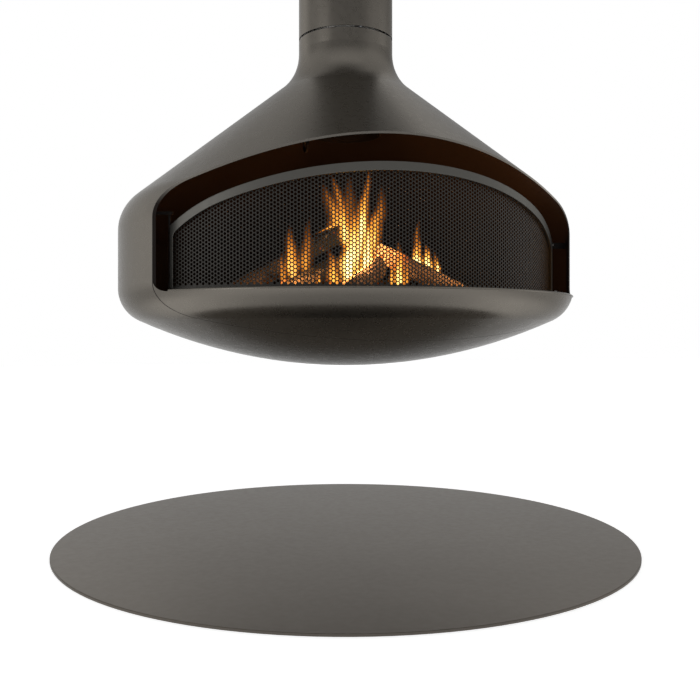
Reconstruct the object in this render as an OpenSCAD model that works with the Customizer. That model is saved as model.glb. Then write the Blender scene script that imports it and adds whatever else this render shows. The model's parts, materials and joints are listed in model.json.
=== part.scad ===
// Hanging fireplace: a round steel bowl and hood hung from the ceiling on its own flue, free to
// turn on a ball race in the neck, with a curved spark screen, a butterfly damper and a floor plate.
// Millimetres, +Z up, origin on the axis at the underside of the floor plate, opening towards -Y.

/* [Room] */
// Height of the ceiling above the floor
ceiling_h = 2400; // [2300:50:3000]
// Diameter of the floor plate
floor_plate_d = 1500; // [1300:50:1800]
// Thickness of the floor plate
floor_plate_t = 6; // [4:1:10]

/* [Bowl and hood] */
// Height of the bowl's underside above the floor
bowl_bottom_z = 460; // [420:10:500]
// Outside diameter of the body
body_d = 1180; // [1140:10:1240]
// Crown radius of the dished bowl
crown_r = 1300; // [1250:10:1350]
// Knuckle radius between the bowl's dish and its side
knuckle_r = 88; // [80:2:92]
// Drop of the rim below the knuckle's centre
rim_drop = 20.85; // [16:0.05:25]
// Steel thickness of bowl and hood
shell_t = 4; // [3:0.5:5]
// Height of the hood's side, from the rim to the corner that its shoulder rounds
side_h = 216; // [206:2:226]
// Radius of the rounded shoulder
shoulder_r = 106; // [90:2:116]
// Rise of the hood's cone
cone_h = 373; // [350:5:390]
// Radius of the sweep from the cone into the neck
neck_sweep_r = 135; // [120:5:145]
// Height of the straight neck above the cone
neck_h = 97; // [92:1:104]

/* [Hood opening] */
// Distance from the body's outside to the opening's sides
opening_side = 53; // [50:1:60]
// Radius of the upright cut that forms the arch
opening_cut_r = 930; // [900:10:960]
// Radius of the opening's bottom corners
opening_corner_r = 26; // [20:1:32]
// Radius of the half-round bead on the rim
rim_bead_r = 4.5; // [4:0.5:6]

/* [Spark screen] */
// Radius that the screen is rolled to
screen_r = 673; // [665:1:681]
// Gap between the opening's side and the screen's end
screen_side_gap = 39.4; // [38:0.2:46]
// Height of the screen's lower edge above the rim
screen_lift = 8; // [7:0.5:12]
// Height of the screen in the middle
screen_h = 281; // [270:1:290]
// Radius of the screen's arched top, on the flat sheet
screen_arch_r = 1365; // [1300:5:1500]
// Radius of the screen's upper corners
screen_corner_r = 45; // [40:1:55]
// Width of the top rail
top_rail_w = 20; // [16:1:24]
// Width of the upright stiles
stile_w = 14; // [12:1:18]
// Width of the bottom hem
hem_w = 8; // [6:1:10]
// Depth of the frame bars
frame_t = 10; // [9:1:14]
// Thickness of the perforated sheet
sheet_t = 1.5; // [1:0.5:3]
// Diameter of the holes in the sheet
hole_d = 20; // [10:1:22]
// Distance between neighbouring holes
hole_pitch = 34; // [30:1:50]
// Distance from the body's outside to the screen's ends
screen_end_gap = 50; // [46:1:56]
// Diameter of the hinge pins
hinge_pin_d = 6; // [5:0.5:7]

/* [Flue] */
// Outside diameter of the cover tube and the neck
cover_tube_d = 250; // [246:1:256]
// Wall of the cover tube
cover_tube_t = 2; // [1.5:0.5:2.5]
// Outside diameter of the smoke pipe
flue_d = 180; // [174:1:182]
// Wall of the smoke pipe and the throat
flue_t = 2; // [1.5:0.5:3]
// Width of the groove at the turning joint
joint_gap = 5; // [4:0.5:7]
// Diameter of the suspension rods
rod_d = 8; // [6:1:8]

/* [Turning joint] */
// Diameter of the bearing balls
ball_d = 10; // [8:1:10]
// Number of balls
ball_count = 24; // [12:1:30]

/* [Damper] */
// Height of the damper spindle above the throat's mouth
damper_rise = 75; // [60:5:100]
// Diameter of the damper spindle
spindle_d = 10; // [8:1:12]
// Length of the damper lever
lever_len = 110; // [90:5:125]

/* [Fire bed] */
// Height of the fire bed above the bowl's underside
bed_h = 100; // [90:2:110]
// Radius of the ash pan
ash_pan_r = 165; // [150:5:180]
// Number of grate bars
grate_bars = 9; // [7:1:11]
// Radius of the middle log
log_r = 45; // [40:1:50]

/* [Hidden] */
$fn = 96;

// Clearance of a turning fit, and of a pressed or bolted one
running = 0.05;
snug = 0.02;
// Gap that keeps the screen clear of its catch
stop_gap = 0.4;

body_r = body_d / 2;
neck_r = cover_tube_d / 2;
knuckle_z = bowl_bottom_z + crown_r
    - sqrt(pow(crown_r - knuckle_r, 2) - pow(body_r - knuckle_r, 2));
rim_z = knuckle_z - rim_drop;
shoulder_z = rim_z + side_h;
neck_z = shoulder_z + cone_h;
neck_top_z = neck_z + neck_h;
tube_bottom_z = neck_top_z + joint_gap;

// The cone's slope, and the angle that shoulder and sweep each turn through
cone_slope = cone_h / (body_r - neck_r);
cone_turn = 90 - atan(cone_slope);
cone_secant = sqrt(1 + cone_slope * cone_slope);

// Height of the shoulder's centre, and the wall's inner radius between it and the knuckle's
shoulder_mid_z = shoulder_z - shoulder_r * tan(cone_turn / 2);
function round_wall(r, rise) = body_r - r + sqrt(pow(r - shell_t, 2) - pow(rise, 2));
function wall_r(z) =
    z < knuckle_z ? round_wall(knuckle_r, knuckle_z - z)
    : round_wall(shoulder_r, max(0, z - shoulder_mid_z));

// Upright axis of the arch cut, and of the rolled screen
opening_half_w = body_r - opening_side;
opening_side_a = acos(opening_half_w / body_r);
opening_cut_y = sqrt(pow(opening_cut_r, 2) - pow(opening_half_w, 2))
    - sqrt(pow(body_r, 2) - pow(opening_half_w, 2));
screen_end_x = opening_half_w - screen_side_gap;
screen_end_a = asin(screen_end_x / screen_r);
screen_w = 2 * screen_r * screen_end_a * PI / 180;
screen_y = screen_r * cos(screen_end_a)
    - sqrt(pow(body_r - screen_end_gap, 2) - pow(screen_end_x, 2));
screen_bottom_z = rim_z + screen_lift;
screen_top_z = screen_bottom_z + screen_h;
frame_mid_r = screen_r + frame_t / 2;
stile_mid_a = screen_end_a - stile_w / 2 / screen_r * 180 / PI;
corner_z = screen_top_z - screen_arch_r
    + sqrt(pow(screen_arch_r - screen_corner_r, 2)
    - pow(screen_w / 2 - screen_corner_r, 2));

// Hinge axis, and the bracket that carries it: its tab meets the wall behind the opening's side
function degrees_along(len, r) = len / r * 180 / PI;
hinge_point = [-frame_mid_r * sin(stile_mid_a), screen_y - frame_mid_r * cos(stile_mid_a)];
bracket_t = 6;
bracket_eye_r = 9;
bracket_half_w = 8;
bracket_drop = 9;
upper_bracket_z = corner_z + screen_corner_r - bracket_drop;
tab_inset = 50;
tab_wall_a = opening_side_a - degrees_along(tab_inset, body_r);
tab_end = (shell_t - body_r) * [cos(tab_wall_a), sin(tab_wall_a)];

// Flue and turning joint, from the cover tube's lower edge upwards
flue_r = flue_d / 2;
sleeve_gap = 2;
sleeve_t = 3;
sleeve_r = flue_r + sleeve_gap;
sleeve_out_r = sleeve_r + sleeve_t;
race_t = 8;
race_lift = 7;
race_half_w = 6.5;
race_z = tube_bottom_z + race_lift;
race_top_z = race_z + race_t;
race_r = sleeve_out_r + race_half_w;
race_gap = ball_d / 2;
ball_z = race_top_z + race_gap / 2;
collar_z = race_top_z + race_gap;
rod_wall_gap = 8;
rod_r = neck_r - cover_tube_t - rod_wall_gap;
rod_count = 4;
rod_nut_w = 13;
rod_nut_h = 6.5;
rod_end = 1;
plate_t = 8;
flange_t = 6;
flange_drop = 10;
neck_flange_z = neck_top_z - flange_drop;
collar_flange_z = neck_flange_z - flange_t;
throat_top_z = collar_flange_z;
throat_flange_t = 4;
throat_drop = 150;
throat_z = neck_z - throat_drop;
spindle_z = throat_z + damper_rise;
throat_r = sleeve_r;
throat_out_r = throat_r + flue_t;
bush_len = 10;
bush_wall = 3;
bush_rim = 3;
lever_t = 6;
lever_w = 12;
lever_gap = 4;
lever_x = -(throat_out_r + bush_len + lever_gap);
lever_eye_r = 18;
blade_t = 3;
blade_gap = 2;
spindle_flat = spindle_d / 2 - 2;
blade_screw_d = 5;
blade_screw_x = 45;

// Fire bed and grate
bed_z = bowl_bottom_z + bed_h;
grate_bar_w = 12;
grate_bar_h = 14;
grate_pitch = 38;
grate_len = 340;
grate_foot_h = 18;
grate_top_z = bed_z + grate_foot_h + 2 * grate_bar_h;

steel = [0.36, 0.34, 0.32];
dark_steel = [0.2, 0.19, 0.18];
bright_steel = [0.75, 0.75, 0.76];
zinc = [0.7, 0.71, 0.72];
firebrick = [0.78, 0.7, 0.6];
iron = [0.22, 0.22, 0.22];
brass = [0.75, 0.6, 0.3];
bark = [0.36, 0.25, 0.17];

// ---- Body profile -------------------------------------------------------------------------

// Filled half section of the body, drawn in by inset on every face
module body_section(inset) {
    r = body_r - inset;
    nr = neck_r - inset;
    cr = crown_r - inset;
    kr = knuckle_r - inset;
    sr = shoulder_r - inset;
    wr = neck_sweep_r + inset;
    shift = inset * (cone_slope - cone_secant);
    crown_z = bowl_bottom_z + crown_r;
    dish_a = atan2(body_r - knuckle_r, crown_z - knuckle_z);
    dish_x = cr * sin(dish_a);
    dish_z = crown_z - cr * cos(dish_a);
    shoulder_run = sr * tan(cone_turn / 2);
    sweep_run = wr * tan(cone_turn / 2);
    corner = [r, shoulder_z + shift];
    neck_corner = [nr, neck_z + shift];
    sweep_centre = neck_corner + [wr, sweep_run];
    along = [-sin(cone_turn), cos(cone_turn)];
    difference() {
        union() {
            intersection() {
                translate([0, crown_z]) circle(r = cr, $fn = 360);
                translate([0, bowl_bottom_z]) square([dish_x, dish_z - bowl_bottom_z]);
            }
            translate([r - kr, knuckle_z]) circle(r = kr);
            translate([r - sr, shoulder_mid_z]) circle(r = sr);
            polygon([
                [0, dish_z], [dish_x, dish_z], [r - kr, knuckle_z], [r, knuckle_z],
                corner - [0, shoulder_run], corner + shoulder_run * along,
                neck_corner - sweep_run * along, sweep_centre, neck_corner + [0, sweep_run],
                [nr, neck_top_z], [0, neck_top_z]
            ]);
        }
        translate(sweep_centre) circle(r = wr);
    }
}

// Solid of revolution of the body's inside, to trim what seats on the shell
module body_inside(extra = 0) {
    rotate_extrude() intersection() {
        body_section(shell_t + extra);
        square([body_r, neck_top_z]);
    }
}

// Everything inside the wall between two heights close together
module inside_wall(z, h) {
    translate([0, 0, z]) cylinder(r1 = wall_r(z), r2 = wall_r(z + h), h = h, $fn = 360);
}

// Slice of the body's wall between two insets and two heights, swept about the back
module wall_strip(inset, t, z, h, half_a) {
    rotate([0, 0, 90 - half_a]) rotate_extrude(angle = 2 * half_a) intersection() {
        difference() {
            body_section(inset);
            body_section(inset + t);
        }
        translate([0, z]) square([body_r, h]);
    }
}

// Everything in front of the arch cut, above the rim
module opening_cutter() {
    reach = body_r + 10;
    top = neck_z - rim_z;
    w = opening_half_w;
    c = opening_corner_r;
    intersection() {
        difference() {
            translate([-reach, -reach, rim_z - 1]) cube([2 * reach, reach, top]);
            translate([0, opening_cut_y, 0]) cylinder(r = opening_cut_r, h = neck_z, $fn = 360);
        }
        rotate([90, 0, 0]) linear_extrude(reach) union() {
            translate([-w, rim_z + c]) square([2 * w, top]);
            translate([c - w, rim_z]) square([2 * (w - c), 2 * c]);
            for (s = [-1, 1]) translate([s * (w - c), rim_z + c]) circle(r = c);
        }
    }
}

// ---- Screen outline -----------------------------------------------------------------------

function arc(c, r, a0, a1, n) = [for (i = [0:n]) c + r * [cos(a0 + (a1 - a0) * i / n), sin(a0 + (a1 - a0) * i / n)]];

// Position across the opening of a point at width u on the flat sheet
function rolled(p) = [screen_r * sin(p[0] / screen_r * 180 / PI), p[1]];

// Outline of the sheet, drawn in at the sides, top and bottom
function sheet_outline(side, top, bottom) =
    let (w = screen_w / 2 - side)
    let (c = screen_corner_r - min(side, top))
    let (a = screen_arch_r - top)
    let (arch = [0, screen_top_z - screen_arch_r])
    let (cz = arch[1] + sqrt(pow(a - c, 2) - pow(w - c, 2)))
    let (turn = atan2(cz - arch[1], w - c))
    let (base = screen_bottom_z + bottom)
    concat(
        [[-w, base]],
        [for (i = [1:23]) [-w + 2 * w * i / 24, base]],
        [[w, base]],
        arc([w - c, cz], c, 0, turn, 8),
        arc(arch, a, turn, 180 - turn, 32),
        arc([c - w, cz], c, 180 - turn, 180, 8)
    );

// A piece of rolled sheet between two radii, cut to an outline
module rolled_sheet(r, t, outline, hole = []) {
    intersection() {
        translate([0, screen_y, 0]) difference() {
            cylinder(r = r + t, h = neck_z, $fn = 360);
            translate([0, 0, -1]) cylinder(r = r, h = neck_z + 2, $fn = 360);
        }
        rotate([90, 0, 0]) linear_extrude(body_r) difference() {
            polygon([for (p = outline) rolled(p)]);
            if (len(hole) > 0) polygon([for (p = hole) rolled(p)]);
        }
    }
}

// Places children on the screen at angle a from the middle, Z pointing outwards
module on_screen(a, r, z) {
    translate([0, screen_y, z]) rotate([0, 0, a]) translate([0, -r, 0]) rotate([90, 0, 0]) children();
}

// Places children upright on the screen's hinge axis
module at_hinge(z) {
    translate([hinge_point[0], hinge_point[1], z]) children();
}

// ---- Fasteners ----------------------------------------------------------------------------

// Hexagon nut standing on XY, with its bore
module nut(across, h, bore) {
    difference() {
        cylinder(d = across / cos(30), h = h, $fn = 6);
        translate([0, 0, -1]) cylinder(d = bore + 2 * snug, h = h + 2, $fn = 48);
    }
}

module ring(ro, ri, h) {
    difference() {
        cylinder(r = ro, h = h);
        translate([0, 0, -1]) cylinder(r = ri, h = h + 2);
    }
}

module around(count, r, start = 0) {
    for (i = [0:count - 1]) rotate([0, 0, start + i * 360 / count]) translate([r, 0, 0]) children();
}

// ---- Fixed to the building ----------------------------------------------------------------

module floor_plate() {
    bevel = 1;
    color(dark_steel) rotate_extrude() union() {
        square([floor_plate_d / 2 - bevel, floor_plate_t]);
        square([floor_plate_d / 2, floor_plate_t - bevel]);
    }
}

module ceiling_plate() {
    plate_r = 160;
    bolt_circle_r = 140;
    bolt_r = 5.5;
    bolts = 4;
    color(zinc) difference() {
        translate([0, 0, ceiling_h - plate_t]) ring(plate_r, socket_r + flue_t + 1, plate_t);
        translate([0, 0, ceiling_h - plate_t - 1]) {
            around(bolts, bolt_circle_r, 45) cylinder(r = bolt_r, h = plate_t + 2);
            around(rod_count, rod_r) cylinder(d = rod_d + 2 * snug, h = plate_t + 2);
        }
    }
}

module suspension_rods() {
    low = race_z - rod_nut_h - rod_end;
    color(zinc) around(rod_count, rod_r) translate([0, 0, low]) cylinder(d = rod_d, h = ceiling_h - low);
}

module rod_nuts() {
    color(bright_steel) around(rod_count, rod_r) for (z = [race_z, ceiling_h - plate_t])
        translate([0, 0, z - rod_nut_h]) nut(rod_nut_w, rod_nut_h, rod_d);
}

// Socket for the next smoke pipe
socket_h = 60;
socket_r = flue_r + 0.3;
socket_step = 4;

module flue_liner() {
    overlap_h = 16;
    bottom_z = throat_top_z - overlap_h;
    color(bright_steel) rotate_extrude() difference() {
        union() {
            translate([0, bottom_z]) square([flue_r, ceiling_h - bottom_z]);
            translate([0, ceiling_h - socket_h - socket_step])
                square([socket_r + flue_t, socket_h + socket_step]);
        }
        translate([-1, bottom_z - 1]) square([flue_r - flue_t + 1, ceiling_h]);
        translate([-1, ceiling_h - socket_h]) square([socket_r + 1, socket_h + 1]);
    }
}

module flue_seal() {
    seal_h = 8;
    seal_drop = 2;
    color(iron) translate([0, 0, throat_top_z - seal_drop - seal_h])
        ring(sleeve_r - 2 * running, flue_r + snug, seal_h);
}

module tube_spacers() {
    count = 3;
    spacer_t = 3;
    color(zinc) for (i = [1:count]) difference() {
        translate([0, 0, tube_bottom_z + i * (ceiling_h - tube_bottom_z) / (count + 1)])
            ring(neck_r - cover_tube_t - snug, flue_r + snug, spacer_t);
        around(rod_count, rod_r) cylinder(d = rod_d + 2 * snug, h = ceiling_h);
    }
}

module ball_groove() {
    rotate_extrude() translate([race_r, 0]) circle(d = ball_d + 2 * running, $fn = 48);
}

module fixed_race() {
    tube_gap = 1;
    sleeve_clear = 1.5;
    color(bright_steel) difference() {
        translate([0, 0, race_z])
            ring(neck_r - cover_tube_t - tube_gap, sleeve_out_r + sleeve_clear, race_t);
        translate([0, 0, ball_z]) ball_groove();
        translate([0, 0, race_z - 1]) around(rod_count, rod_r) cylinder(d = rod_d + 2 * snug, h = race_t + 2);
    }
}

module cover_tube() {
    color(steel) translate([0, 0, tube_bottom_z])
        ring(neck_r, neck_r - cover_tube_t, ceiling_h - plate_t - tube_bottom_z);
}

rosette_r = 180;
rosette_h = 34;
rosette_t = 2;
rosette_collar_h = 26;
rosette_screw_r = 2;
rosette_screw_len = 4;

module ceiling_rosette() {
    inner = neck_r + snug;
    color(steel) difference() {
        rotate_extrude() difference() {
            union() {
                translate([0, ceiling_h - rosette_h]) square([rosette_r, rosette_h]);
                translate([0, ceiling_h - rosette_h - rosette_collar_h])
                    square([inner + rosette_t, rosette_collar_h + 1]);
            }
            translate([0, ceiling_h - rosette_h + rosette_t]) square([rosette_r - rosette_t, rosette_h]);
            square([inner, ceiling_h + 1]);
        }
        rosette_screw_row(rosette_screw_r + snug, 2 * rosette_screw_len);
    }
}

module rosette_screw_row(r, len) {
    translate([0, 0, ceiling_h - rosette_h - rosette_collar_h / 2])
        around(3, neck_r + snug, 30) rotate([0, 90, 0]) cylinder(r = r, h = len, $fn = 32);
}

module rosette_screws() {
    color(bright_steel) rosette_screw_row(rosette_screw_r, rosette_screw_len);
}

// ---- Ball race ----------------------------------------------------------------------------

module bearing_balls() {
    color(bright_steel) translate([0, 0, ball_z]) around(ball_count, race_r) sphere(d = ball_d, $fn = 32);
}

module ball_cage() {
    cage_t = 2;
    half_w = race_half_w - 0.5;
    color(brass) difference() {
        translate([0, 0, ball_z - cage_t / 2]) ring(race_r + half_w, race_r - half_w, cage_t);
        translate([0, 0, ball_z - cage_t]) around(ball_count, race_r)
            cylinder(d = ball_d + 2 * snug, h = 2 * cage_t, $fn = 48);
    }
}

// ---- Turning body -------------------------------------------------------------------------

bolt_d = 6;
bolt_head_w = 10;
bolt_head_h = 4;
bolt_end = 1;
bolt_ring_r = (sleeve_out_r + neck_r - cover_tube_t) / 2;
bolt_count = 6;

module collar_bolt_holes() {
    translate([0, 0, throat_z]) around(bolt_count, bolt_ring_r, 30)
        cylinder(d = bolt_d + 2 * snug, h = cone_h, $fn = 32);
}

module rotating_collar() {
    color(bright_steel) difference() {
        rotate_extrude() difference() {
            union() {
                translate([0, collar_flange_z]) square([neck_r - 2 * shell_t, flange_t]);
                translate([0, collar_flange_z]) square([sleeve_out_r, collar_z + race_t - collar_flange_z]);
                translate([0, collar_z]) square([race_r + race_half_w, race_t]);
            }
            translate([-1, collar_flange_z - 1]) square([sleeve_r + 1, cone_h]);
        }
        translate([0, 0, ball_z]) ball_groove();
        collar_bolt_holes();
    }
}

module neck_flange() {
    flange_gap = 0.3;
    color(dark_steel) difference() {
        translate([0, 0, neck_flange_z]) ring(neck_r - shell_t, sleeve_out_r + flange_gap, flange_t);
        collar_bolt_holes();
    }
}

module collar_bolts() {
    low = throat_top_z - throat_flange_t;
    high = neck_flange_z + flange_t;
    color(zinc) around(bolt_count, bolt_ring_r, 30) {
        for (z = [low - bolt_head_h, high]) translate([0, 0, z])
            cylinder(d = bolt_head_w / cos(30), h = bolt_head_h, $fn = 6);
        translate([0, 0, low - bolt_end])
            cylinder(d = bolt_d, h = high - low + bolt_head_h + 2 * bolt_end, $fn = 32);
    }
}

module hood_shell() {
    color(steel) difference() {
        rotate_extrude() intersection() {
            difference() {
                body_section(0);
                body_section(shell_t);
                square([neck_r - shell_t, neck_top_z + 1]);
            }
            translate([0, rim_z]) square([body_r, neck_top_z]);
        }
        opening_cutter();
    }
}

module bowl_shell() {
    color(steel) rotate_extrude() intersection() {
        difference() {
            body_section(0);
            body_section(shell_t);
        }
        square([body_r, rim_z]);
    }
}

module rim_bead() {
    half_a = asin((opening_half_w - opening_corner_r) / body_r);
    middle = [body_r - rim_bead_r, rim_z];
    color(steel) rotate([0, 0, -90 - half_a]) rotate_extrude(angle = 2 * half_a)
        polygon(arc(middle, rim_bead_r, 0, 180, 12));
}

// The strip inside the seam ends short of the hinge bracket's tab
seam_t = 4;
seam_half_h = 24;
seam_gap = 9;
seam_half_a = 90 + tab_wall_a - degrees_along(bracket_half_w + seam_gap, body_r);

module seam_strip() {
    color(dark_steel) wall_strip(shell_t, seam_t, rim_z - seam_half_h, 2 * seam_half_h, seam_half_a);
}

module seam_nuts() {
    count = 12;
    step = 2 * seam_half_a / count;
    across = 13;
    z = rim_z + seam_half_h / 2;
    nut_r = wall_r(z - across / 2) - seam_t - 0.6;
    color(zinc) for (i = [0:count - 1])
        rotate([0, 0, 90 - seam_half_a + (i + 0.5) * step]) translate([nut_r, 0, z])
            rotate([0, -90, 0]) cylinder(d = across / cos(30), h = rod_nut_h, $fn = 6);
}

module throat_tube() {
    color(dark_steel) difference() {
        union() {
            translate([0, 0, throat_z]) cylinder(r = throat_out_r, h = throat_top_z - throat_z);
            translate([0, 0, throat_top_z - throat_flange_t])
                cylinder(r = neck_r - 2 * shell_t, h = throat_flange_t);
        }
        translate([0, 0, throat_z - 1]) cylinder(r = throat_r, h = cone_h);
        collar_bolt_holes();
        translate([-neck_r, 0, spindle_z]) rotate([0, 90, 0])
            cylinder(d = spindle_d + 2 * bush_wall + 2 * snug, h = 2 * neck_r);
    }
}

module damper_bushes() {
    sink = 0.5;
    color(bright_steel) for (s = [0, 1]) mirror([s, 0, 0]) translate([throat_r + sink, 0, spindle_z])
        rotate([0, 90, 0]) difference() {
            union() {
                cylinder(d = spindle_d + 2 * bush_wall, h = flue_t + bush_len - sink);
                translate([0, 0, flue_t + sink]) cylinder(d = spindle_d + 4 * bush_wall, h = bush_rim);
            }
            translate([0, 0, -1]) cylinder(d = spindle_d + 2 * running, h = 2 * bush_len);
        }
}

fire_back_inset = 28;
fire_back_t = 5;
fire_back_half_a = 72;
fire_back_drop = 24;
fire_back_h = side_h - 30;

module fire_back() {
    color(iron) intersection() {
        rotate([0, 0, 90 - fire_back_half_a]) rotate_extrude(angle = 2 * fire_back_half_a)
            translate([body_r - fire_back_inset - fire_back_t, rim_z - fire_back_drop])
                square([fire_back_t, fire_back_h]);
        body_inside(1);
    }
}

module fire_back_studs() {
    columns = 4;
    end_margin = 36;
    stud_r = 6;
    step = 2 * fire_back_half_a / columns;
    plate_r = body_r - fire_back_inset;
    low = rim_z + seam_half_h;
    high = rim_z + fire_back_h - fire_back_drop;
    color(zinc) for (z = [low + 2 * stud_r, high - end_margin]) {
        nearest_wall_r = min(wall_r(z - stud_r), wall_r(z + stud_r));
        for (i = [0:columns - 1])
            rotate([0, 0, 90 - fire_back_half_a + (i + 0.5) * step])
                translate([plate_r, 0, z]) rotate([0, 90, 0])
                    cylinder(r = stud_r, h = sqrt(pow(nearest_wall_r, 2) - pow(stud_r, 2)) - plate_r);
    }
}

module hearth_tiles() {
    count = 6;
    joint_a = 0.5;
    tile_gap = 0.5;
    pan_gap = 12;
    color(firebrick) for (i = [0:count - 1])
        rotate([0, 0, i * 360 / count + joint_a / 2]) rotate_extrude(angle = 360 / count - joint_a)
            difference() {
                intersection() {
                    body_section(shell_t + tile_gap);
                    square([body_r, bed_z]);
                }
                square([ash_pan_r + pan_gap, bed_z]);
            }
}

module ash_pan() {
    wall = 2;
    lip = 8;
    top_drop = 6;
    floor_z = bowl_bottom_z + shell_t + pow(ash_pan_r, 2) / (2 * (crown_r - shell_t)) + 1;
    top_z = bed_z - top_drop;
    color(dark_steel) rotate_extrude() difference() {
        union() {
            translate([0, floor_z]) square([ash_pan_r, top_z - floor_z]);
            translate([0, top_z - wall]) square([ash_pan_r + lip, wall]);
        }
        translate([-1, floor_z + wall]) square([ash_pan_r - wall + 1, bed_h]);
    }
}

module fire_grate() {
    span = (grate_bars - 1) * grate_pitch + grate_bar_w;
    cross_inset = 50;
    cross_y = grate_len / 2 - cross_inset;
    color(iron) union() {
        for (i = [0:grate_bars - 1])
            translate([i * grate_pitch - span / 2, -grate_len / 2, grate_top_z - grate_bar_h])
                cube([grate_bar_w, grate_len, grate_bar_h]);
        for (s = [-1, 1]) translate([-span / 2, s * cross_y - grate_bar_w / 2, 0]) {
            translate([0, 0, bed_z + grate_foot_h]) cube([span, grate_bar_w, grate_bar_h]);
            for (x = [0, span - 2 * grate_bar_w]) translate([x, 0, bed_z + snug])
                cube([2 * grate_bar_w, grate_bar_w, grate_foot_h]);
        }
    }
}

module hinge_bracket(z) {
    tab = tab_end - hinge_point;
    color(dark_steel) intersection() {
        at_hinge(z) difference() {
            union() {
                cylinder(r = bracket_eye_r, h = bracket_t);
                rotate([0, 0, atan2(tab[1], tab[0])]) translate([0, -bracket_half_w, 0])
                    cube([norm(tab) + bracket_eye_r, 2 * bracket_half_w, bracket_t]);
            }
            translate([0, 0, -1]) cylinder(d = hinge_pin_d + 2 * running, h = bracket_t + 2, $fn = 48);
        }
        inside_wall(z, bracket_t);
    }
}

module upper_hinge_bracket() {
    hinge_bracket(upper_bracket_z);
}

module lower_hinge_bracket() {
    hinge_bracket(rim_z - bracket_t);
}

catch_lift = 2;
catch_z = corner_z + catch_lift;

module screen_catch() {
    pad_h = 16;
    pad_w = 18;
    pad_t = 8;
    arm_t = 5;
    pad_r = screen_r - sheet_t - stop_gap;
    arm_x = pad_r * sin(stile_mid_a) - pad_t;
    arm_y = screen_y - (pad_r - pad_t) * cos(stile_mid_a) + 1;
    color(dark_steel) intersection() {
        union() {
            on_screen(stile_mid_a, pad_r - pad_t, catch_z)
                translate([-pad_w / 2, -pad_h / 2, 0]) cube([pad_w, pad_h, pad_t]);
            translate([arm_x, arm_y, catch_z - pad_h / 2]) cube([body_r - arm_x, arm_t, pad_h]);
        }
        inside_wall(catch_z - pad_h / 2, pad_h);
    }
}

// ---- Logs ---------------------------------------------------------------------------------

// Tapered round between two points
module log_between(p, q, r1, r2) {
    v = q - p;
    len = norm(v);
    color(bark) translate(p) rotate([0, acos(v[2] / len), atan2(v[1], v[0])])
        cylinder(h = len, r1 = r1, r2 = r2, $fn = 64);
}

log_gap = 0.5;
log_taper = 4;

// Places of the logs seen from above are shares of the grate's length. The middle log lies across
// the grate, a little askew.
middle_left = grate_len * [-0.435, 0.312];
middle_right = grate_len * [0.509, -0.041];
middle_z = grate_top_z + log_r + log_gap;

// Place above the middle log's axis at x, moved towards the front
function before_middle(x, distance) =
    [x, middle_left.y + (x - middle_left.x) / (middle_right.x - middle_left.x)
        * (middle_right.y - middle_left.y) - distance];

module fire_log_middle() {
    log_between(lifted(middle_left, middle_z), lifted(middle_right, middle_z), log_r, log_r - log_taper);
}

function lifted(p, z) = [p.x, p.y, z];

// The other logs stand with one end on the fire bed and rest on the middle log. That place is
// a share of the way up the log, and rise times the two radii above the middle log's axis.
module leaning_log(foot, tip, r, tilt, rise, share) {
    foot_z = bed_z + log_gap + r * cos(tilt);
    rest_z = middle_z + rise * (log_r + r);
    tip_z = foot_z + (rest_z - foot_z) / share;
    log_between(lifted(grate_len * foot, foot_z), lifted(tip, tip_z), r, r - log_taper);
}

module fire_log_left() {
    leaning_log([-1.162, 0.506], grate_len * [0.038, 0.112], log_r * 0.667, 28, 1.2, 0.653);
}

module fire_log_right() {
    leaning_log([1.179, -0.418], grate_len * [0.294, 0.082], log_r * 0.711, 28, 1.2, 0.853);
}

module fire_log_front_left() {
    r = log_r * 0.8;
    tip = before_middle(grate_len * -0.015, 0.38 * (log_r + r));
    leaning_log([-0.806, -0.059], tip, r, 28, 2.5, 1.854);
}

module fire_log_front_right() {
    r = log_r * 0.933;
    tip = before_middle(grate_len * 0.226, 0.48 * (log_r + r));
    leaning_log([-0.438, -0.847], tip, r, 20, 1.2, 1.284);
}

// ---- Screen -------------------------------------------------------------------------------

pin_depth = 20;
striker_d = 3;
knob_lift = 8;

module pin_holes() {
    at_hinge(screen_bottom_z - 1) cylinder(d = hinge_pin_d + 2 * snug, h = pin_depth + 2, $fn = 48);
    at_hinge(corner_z - pin_depth / 2) cylinder(d = hinge_pin_d + 2 * snug, h = screen_h, $fn = 48);
}

module screen_frame() {
    color(steel) difference() {
        rolled_sheet(screen_r, frame_t, sheet_outline(0, 0, 0), sheet_outline(stile_w, top_rail_w, hem_w));
        pin_holes();
        on_screen(stile_mid_a, screen_r - 1, catch_z)
            cylinder(d = striker_d + 2 * snug, h = frame_t + 2, $fn = 32);
    }
}

// Top edge of the open sheet at width u, inside the frame
function open_top(u) = screen_top_z - screen_arch_r + sqrt(pow(screen_arch_r, 2) - u * u) - top_rail_w;

module screen_sheet() {
    land = 4;
    margin = hole_d / 2 + land;
    row_h = hole_pitch * sin(60);
    columns = floor(screen_w / hole_pitch / 2);
    rows = floor(screen_h / row_h);
    low = screen_bottom_z + hem_w + margin;
    color(dark_steel) difference() {
        rolled_sheet(screen_r - sheet_t, sheet_t, sheet_outline(2, 2, 1));
        for (j = [0:rows], i = [-columns:columns]) {
            u = (i + (j % 2) / 2) * hole_pitch;
            z = low + j * row_h;
            inside = abs(u) < screen_w / 2 - stile_w - margin;
            if (inside && z < open_top(u) - margin)
                on_screen(u / screen_r * 180 / PI, screen_r - sheet_t - 3, z)
                    cylinder(d = hole_d, h = sheet_t + 6, $fn = 24);
        }
    }
}

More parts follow.
